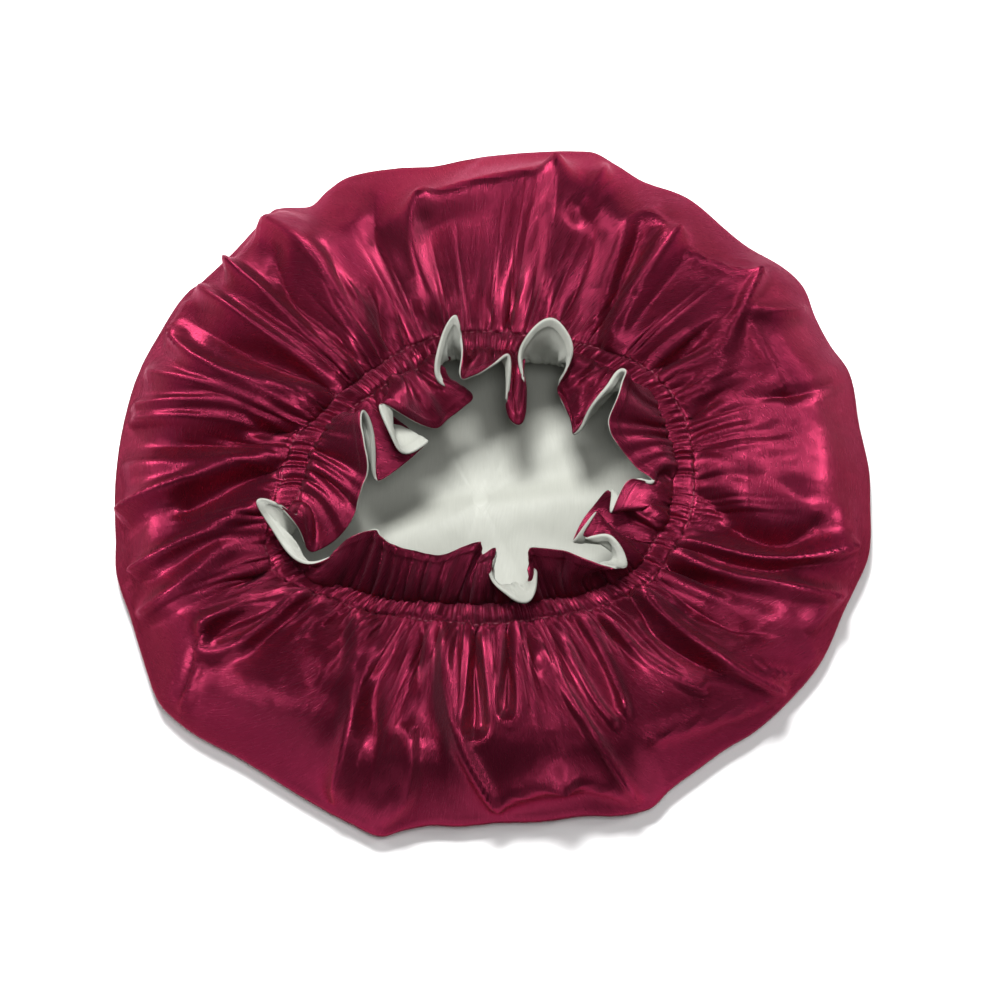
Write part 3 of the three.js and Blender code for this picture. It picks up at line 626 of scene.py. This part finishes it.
gloss = put(weave, "ShaderNodeMath", operation="ADD")
weave.links.new(gloss_shift.outputs[0], gloss.inputs[0])
weave.links.new(group_in.outputs["Roughness"], gloss.inputs[1])
weave.links.new(gloss.outputs[0], group_out.inputs["Roughness"])


def satin(name, color, shade, roughness, bump, **constants):
    """Satin: colour and gloss from the weave group, and its ribs as a bump."""
    material = bpy.data.materials.new(name)
    material.use_nodes = True
    tree = material.node_tree
    shader = tree.nodes["Principled BSDF"]
    for socket, value in constants.items():
        shader.inputs[socket.replace("_", " ")].default_value = value
    woven = put(tree, "ShaderNodeGroup", node_tree=weave)
    woven.inputs["Color"].default_value = color
    woven.inputs["Shade"].default_value = shade
    woven.inputs["Roughness"].default_value = roughness
    tree.links.new(woven.outputs["Color"], shader.inputs["Base Color"])
    tree.links.new(woven.outputs["Roughness"], shader.inputs["Roughness"])
    relief = put(tree, "ShaderNodeBump")
    relief.inputs["Strength"].default_value = bump
    relief.inputs["Distance"].default_value = 0.00012
    tree.links.new(woven.outputs["Height"], relief.inputs["Height"])
    tree.links.new(relief.outputs["Normal"], shader.inputs["Normal"])
    return material


# The outer cloth: burgundy polyester satin, glossy side out, one round cut from the crown to the ruffle's
# edge. It is sewn to the lining along that edge and turned, so the edge is a soft roll.
seam_radius = half_gap + 0.0005
edge_onward = middle[-1] - middle[-2]
edge_onward /= np.linalg.norm(edge_onward, axis=1, keepdims=True)


def rolled_edge(side, turns):
    """Rows that round a layer over the seam at the ruffle's edge; side is 1 outside and -1 inside."""
    rows = []
    for turn in np.radians(turns):
        offset = side * normals[-1] * math.cos(turn) + edge_onward * math.sin(turn)
        rows.append(middle[-1] + seam_radius * offset)
    return rows


outer_grid = np.concatenate([middle + normals * parting[:, :, None], rolled_edge(1, [20, 42, 62])])
outer_spread = np.concatenate([along_cloth, along_cloth[-1] + seam_radius * np.array([0.35, 0.73, 1.08])])
outer_cloth = cloth_mesh("outer_satin_cloth", outer_grid, outer_spread)
outer_cloth.data.materials.append(
    satin(
        "burgundy_satin",
        (0.185, 0.0145, 0.040, 1),
        (0.12, 0.009, 0.027, 1),
        0.29,
        0.8,
        Metallic=0.85,
        Specular_IOR_Level=0.2,
        Specular_Tint=(0.8, 0.3, 0.42, 1),
        Sheen_Weight=0.04,
        Sheen_Roughness=0.4,
        Sheen_Tint=(1.0, 0.35, 0.5, 1),
    )
)
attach(outer_cloth, "root")
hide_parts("outer_cloth")

# The lining: pale sage satin of the same cut, seen in the mouth and where the ruffle turns out. It rounds the
# seam by less than a millimetre and shows there as a pale line. Over the crown it lies slack in soft folds.
inside = np.minimum(1, np.maximum(0, 0.9 - along_cloth / along_cloth[casing_start]) * 3)
crown_folds = [
    ((345, 562), (470, 524), (612, 500), 10, 4.5), ((370, 512), (450, 486), (560, 478), 8, -3.2),
    ((430, 470), (520, 452), (610, 470), 8, 3), ((400, 600), (500, 560), (600, 560), 8, -2.5),
    ((380, 440), (450, 430), (540, 440), 7, -2.5), ((520, 400), (560, 480), (560, 600), 11, 2.2),
]
crown_places = seen(middle)
slack = np.full(middle.shape[:2], 0.0035)
for start, bend, end, wide, high in crown_folds:
    slack += 0.001 * high * np.exp(-((distance_to_curve(crown_places, start, bend, end) / wide) ** 2))
slack *= inside[:, None]
lining_grid = middle - normals * (parting + slack)[:, :, None]


def under_the_folds(grid):
    """The grid with the hollow side of its folds bridged: a smooth layer below all of their valleys."""
    heights = grid[:, :, 2]
    lowest = heights
    for step in range(1, 11):
        beside = np.minimum(np.roll(heights, step, 1), np.roll(heights, -step, 1))
        lowest = np.minimum(lowest, beside)
    bridged = grid.copy()
    bridged[:, :, 2] = lowest - 0.001
    return sum(np.roll(bridged, step, 1) for step in range(-9, 10)) / 19


loose = np.clip((toward_rows - 0.15) / 0.15, 0, 1) * np.clip((1 - toward_rows) / 0.03, 0, 1)
past_sack = row_count - len(crown) - len(sack_places)
loose = np.concatenate([np.zeros(len(crown)), loose, np.zeros(past_sack)])[:, None, None]
lining_grid = lining_grid * (1 - loose) + under_the_folds(middle) * loose
lining_grid[:, :, 2] = np.maximum(lining_grid[:, :, 2], 0.0004)
lining_grid = np.concatenate([lining_grid, rolled_edge(-1, [25, 50, 75, 98, 118])])
lining_edge = seam_radius * np.array([0.4, 0.9, 1.3, 1.7, 2.1])
lining_spread = np.concatenate([along_cloth, along_cloth[-1] + lining_edge])
lining = cloth_mesh("lining_satin_cloth", lining_grid, lining_spread)
lining.data.materials.append(
    satin(
        "sage_satin",
        (0.345, 0.352, 0.312, 1),
        (0.29, 0.297, 0.262, 1),
        0.6,
        0.7,
        Specular_IOR_Level=0.8,
        Sheen_Weight=0.2,
        Sheen_Roughness=0.4,
        Sheen_Tint=(0.95, 1.0, 0.92, 1),
    )
)
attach(lining, "root")
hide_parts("lining")

# The two rows of stitches that make the casing: burgundy polyester thread, sewn through both layers.
# They lie in short lengths on the gathers of the outer cloth.
stitch_step = 0.0032
stitch_length = 0.0022
thread_radius = 0.00024


def thread_tube(points, radius, sides=6):
    """The rings of a thin round thread through some points, with pointed ends."""
    rings = []
    for place, point in enumerate(points):
        before, after = points[max(0, place - 1)], points[min(len(points) - 1, place + 1)]
        ahead = (after - before) / np.linalg.norm(after - before)
        side = np.cross(ahead, [0.3, 0.2, 1.0])
        side /= np.linalg.norm(side)
        other = np.cross(ahead, side)
        wide = radius * (0.35 if place in (0, len(points) - 1) else 1)
        turns = np.linspace(0, 2 * math.pi, sides, endpoint=False)
        rings.append([point + wide * (math.cos(t) * side + math.sin(t) * other) for t in turns])
    return np.array(rings)


def threads_mesh(name, tubes):
    """One mesh of many closed threads."""
    points, faces = [], []
    for rings in tubes:
        count, sides, _ = rings.shape
        first = len(points)
        points += rings.reshape(-1, 3).tolist()
        for row in range(count - 1):
            for side in range(sides):
                near, beside = first + row * sides + side, first + row * sides + (side + 1) % sides
                faces.append((near, beside, beside + sides, near + sides))
        faces.append(tuple(first + side for side in reversed(range(sides))))
        faces.append(tuple(first + (count - 1) * sides + side for side in range(sides)))
    mesh = bpy.data.meshes.new(name)
    mesh.from_pydata(points, [], faces)
    mesh.shade_smooth()
    piece = bpy.data.objects.new(name, mesh)
    bpy.context.scene.collection.objects.link(piece)
    return piece


def stitch_row(row):
    """Stitches along one row of the outer cloth, raised to lie on its gathers."""
    line = outer_grid[row] + normals[row] * 0.0002
    closed = np.concatenate([line, line[:1]])
    run = np.concatenate([[0], np.cumsum(np.linalg.norm(np.diff(closed, axis=0), axis=1))])
    stitches = []
    for start in np.arange(0, run[-1] - stitch_length, stitch_step):
        marks = start + stitch_length * np.linspace(0, 1, 5)
        places = np.stack([np.interp(marks, run, closed[:, axis]) for axis in range(3)], 1)
        stitches.append(thread_tube(places, thread_radius))
    return stitches


def thread_material(name, color, shade):
    """Twisted thread: a fine spiral of light and shade on a soft gloss."""
    material = bpy.data.materials.new(name)
    material.use_nodes = True
    tree = material.node_tree
    shader = tree.nodes["Principled BSDF"]
    shader.inputs["Roughness"].default_value = 0.5
    twist = put(tree, "ShaderNodeTexNoise", in_2=2500.0, in_3=2.0)
    blend = put(tree, "ShaderNodeMix", data_type="RGBA")
    blend.inputs["A"].default_value = color
    blend.inputs["B"].default_value = shade
    relief = put(tree, "ShaderNodeBump")
    relief.inputs["Strength"].default_value = 0.4
    relief.inputs["Distance"].default_value = 0.0001
    tree.links.new(twist.outputs["Fac"], blend.inputs["Factor"])
    tree.links.new(blend.outputs["Result"], shader.inputs["Base Color"])
    tree.links.new(twist.outputs["Fac"], relief.inputs["Height"])
    tree.links.new(relief.outputs["Normal"], shader.inputs["Normal"])
    return material


casing_stitches = threads_mesh("casing_stitches", stitch_row(casing_start) + stitch_row(ruffle_start))
burgundy_thread = thread_material("burgundy_thread", (0.20, 0.02, 0.045, 1), (0.10, 0.01, 0.025, 1))
casing_stitches.data.materials.append(burgundy_thread)
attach(casing_stitches, "root")

# A loose end of pale polyester thread at the front of the casing, where it was closed over the elastic.
# It is caught in the stitches and lies free on the gathers.
end_column = int(columns * 246 / 360)
end_root = outer_grid[ruffle_start][end_column]
end_points = []
for share in np.linspace(0, 1, 9):
    end_offset = [0.0062 * share - 0.003, 0.0035 * share, 0.0012 + 0.002 * math.sin(2.6 * share)]
    end_points.append(end_root + np.array(end_offset))
thread_end = threads_mesh("loose_thread_end", [thread_tube(np.array(end_points), 0.0003)])
thread_end.data.materials.append(thread_material("pale_thread", (0.62, 0.50, 0.50, 1), (0.45, 0.32, 0.34, 1)))
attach(thread_end, "root")

# The elastic: a white braided ribbon that lies loose in the casing and draws the mouth in. Nothing of it
# shows, so it stays the frame's own plain band.
elastic_material = bpy.data.materials.new("braided_elastic")
elastic_material.use_nodes = True
elastic_tree = elastic_material.node_tree
elastic_shader = elastic_tree.nodes["Principled BSDF"]
elastic_shader.inputs["Roughness"].default_value = 0.8
braid = put(elastic_tree, "ShaderNodeTexNoise", in_2=900.0)
braid_color = put(elastic_tree, "ShaderNodeMix", data_type="RGBA")
braid_color.inputs["A"].default_value = (0.72, 0.72, 0.70, 1)
braid_color.inputs["B"].default_value = (0.86, 0.86, 0.84, 1)
elastic_tree.links.new(braid.outputs["Fac"], braid_color.inputs["Factor"])
elastic_tree.links.new(braid_color.outputs["Result"], elastic_shader.inputs["Base Color"])
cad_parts["elastic_band"].data.materials.clear()
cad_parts["elastic_band"].data.materials.append(elastic_material)

# The floor and the light of a pale studio: a strong lamp behind and above, a weak one on either side, and
# one over the front that reaches into the mouth.
floor_size = 6.0
floor_mesh = bpy.data.meshes.new("floor")
half = floor_size / 2
floor_corners = [(-half, -half, 0), (half, -half, 0), (half, half, 0), (-half, half, 0)]
floor_mesh.from_pydata(floor_corners, [], [(0, 1, 2, 3)])
floor = bpy.data.objects.new("floor", floor_mesh)
bpy.context.scene.collection.objects.link(floor)
floor_material = bpy.data.materials.new("pale_floor")
floor_material.use_nodes = True
floor_material.node_tree.nodes["Principled BSDF"].inputs["Base Color"].default_value = (0.93, 0.93, 0.93, 1)
floor_material.node_tree.nodes["Principled BSDF"].inputs["Roughness"].default_value = 0.9
floor_mesh.materials.append(floor_material)


def lamp(name, place, size, power):
    data = bpy.data.lights.new(name, "AREA")
    data.size = size
    data.energy = power
    light = bpy.data.objects.new(name, data)
    light.location = place
    light.rotation_euler = (-Vector(place)).to_track_quat("-Z", "Y").to_euler()
    bpy.context.scene.collection.objects.link(light)


lamp("back_lamp", (-0.15, 0.62, 1.5), 0.45, 50)
lamp("left_lamp", (-1.15, 0.25, 1.15), 0.3, 4.5)
lamp("right_lamp", (1.1, 0.1, 1.3), 0.3, 4)
lamp("front_lamp", (0.1, -0.4, 1.6), 0.4, 9)
world = bpy.data.worlds.new("studio")
world.use_nodes = True
world.node_tree.nodes["Background"].inputs["Color"].default_value = (1, 1, 1, 1)
world.node_tree.nodes["Background"].inputs["Strength"].default_value = 0.07
bpy.context.scene.world = world
bpy.context.scene.view_settings.view_transform = "Standard"
